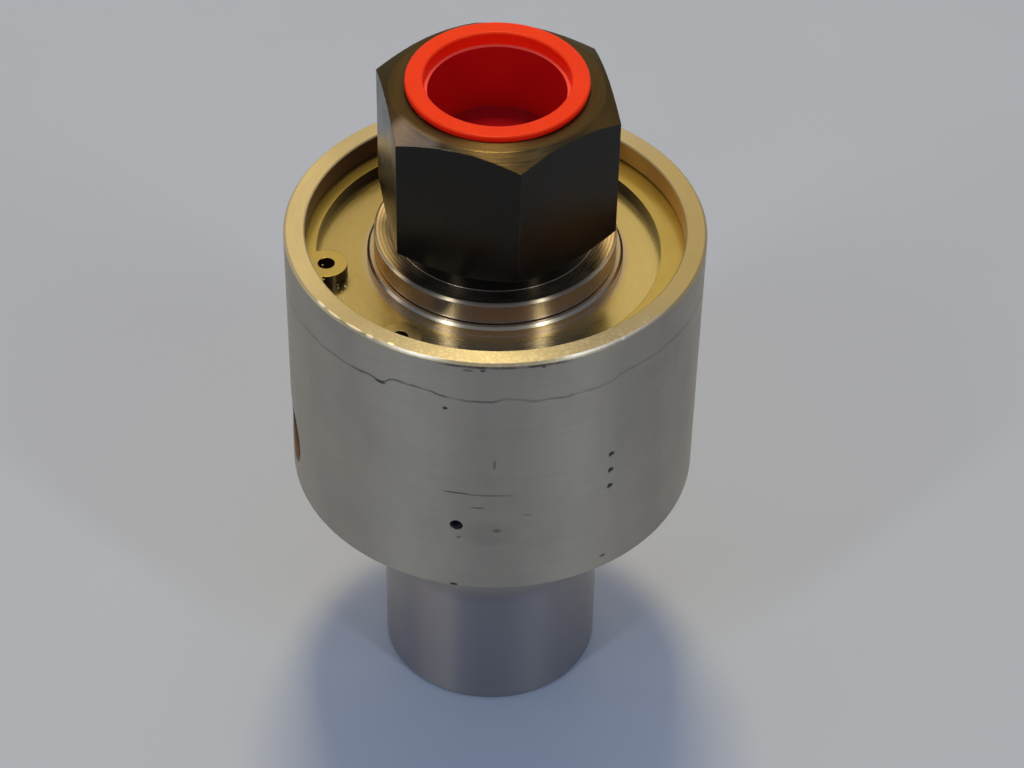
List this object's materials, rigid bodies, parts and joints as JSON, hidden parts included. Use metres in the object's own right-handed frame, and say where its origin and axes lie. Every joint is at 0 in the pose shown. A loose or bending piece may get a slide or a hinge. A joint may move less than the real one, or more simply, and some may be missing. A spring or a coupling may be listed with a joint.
{
  "type": "rotary union",
  "caption": "Hydraulic rotary union: a round steel housing with a threaded stub, a side drain port and a hexagon-headed rotor whose threaded port is closed by a red plug.",
  "frame": {"origin": "centre of the stub's end face, on the rotor's axis", "axes": "+Z along the rotor's axis, from the stub towards the hexagon; the side port is at 190 degrees from +X, counter-clockwise seen from above"},
  "size_m": [0.08, 0.08, 0.1435],
  "materials": {
    "housing_steel": "turned",
    "rotor_steel": "oiled",
    "cover_steel": "oiled, turned",
    "spring_steel": "oiled",
    "bearing_steel": "ground",
    "plain_steel": "satin",
    "cage_brass": "satin",
    "black_rubber": "matte",
    "bronze_ptfe": "smooth",
    "guide_plastic": "smooth",
    "plug_plastic": "semi-gloss"
  },
  "bodies": {
    "housing": {"housing": "housing_steel", "bearing_cover": "cover_steel", "cover_retaining_ring": "spring_steel", "cover_o_ring": "black_rubber", "shaft_lip_seal": "black_rubber", "preload_shim": "plain_steel", "bearing_outer_ring": "bearing_steel", "guide_ring": "guide_plastic", "upper_seal_ring": "bronze_ptfe", "lower_seal_ring": "bronze_ptfe", "upper_seal_energizer": "black_rubber", "lower_seal_energizer": "black_rubber"},
    "rotor": {"rotor_shaft": "rotor_steel", "bearing_inner_ring": "bearing_steel", "lock_washer": "plain_steel", "shaft_locknut": "plain_steel"},
    "upper_balls": {"upper_ball_row": "bearing_steel", "upper_ball_cage": "cage_brass"},
    "lower_balls": {"lower_ball_row": "bearing_steel", "lower_ball_cage": "cage_brass"},
    "plug": {"shipping_plug": "plug_plastic"}
  },
  "joints": [
    {"name": "rotor_spin", "type": "hinge", "parent": "housing", "child": "rotor", "pos_m": [0, 0, 0.0835], "axis": [0, 0, 1], "continuous": true},
    {"name": "upper_row_orbit", "type": "hinge", "parent": "housing", "child": "upper_balls", "pos_m": [0, 0, 0.0898], "axis": [0, 0, 1], "continuous": true},
    {"name": "lower_row_orbit", "type": "hinge", "parent": "housing", "child": "lower_balls", "pos_m": [0, 0, 0.0772], "axis": [0, 0, 1], "continuous": true},
    {"name": "plug_pull", "type": "slide", "parent": "rotor", "child": "plug", "axis": [0, 0, 1], "range_m": [0, 0.03]}
  ],
  "couplings": [
    {"joint": "upper_row_orbit", "follows": "rotor_spin", "ratio": 0.423},
    {"joint": "lower_row_orbit", "follows": "rotor_spin", "ratio": 0.423}
  ]
}
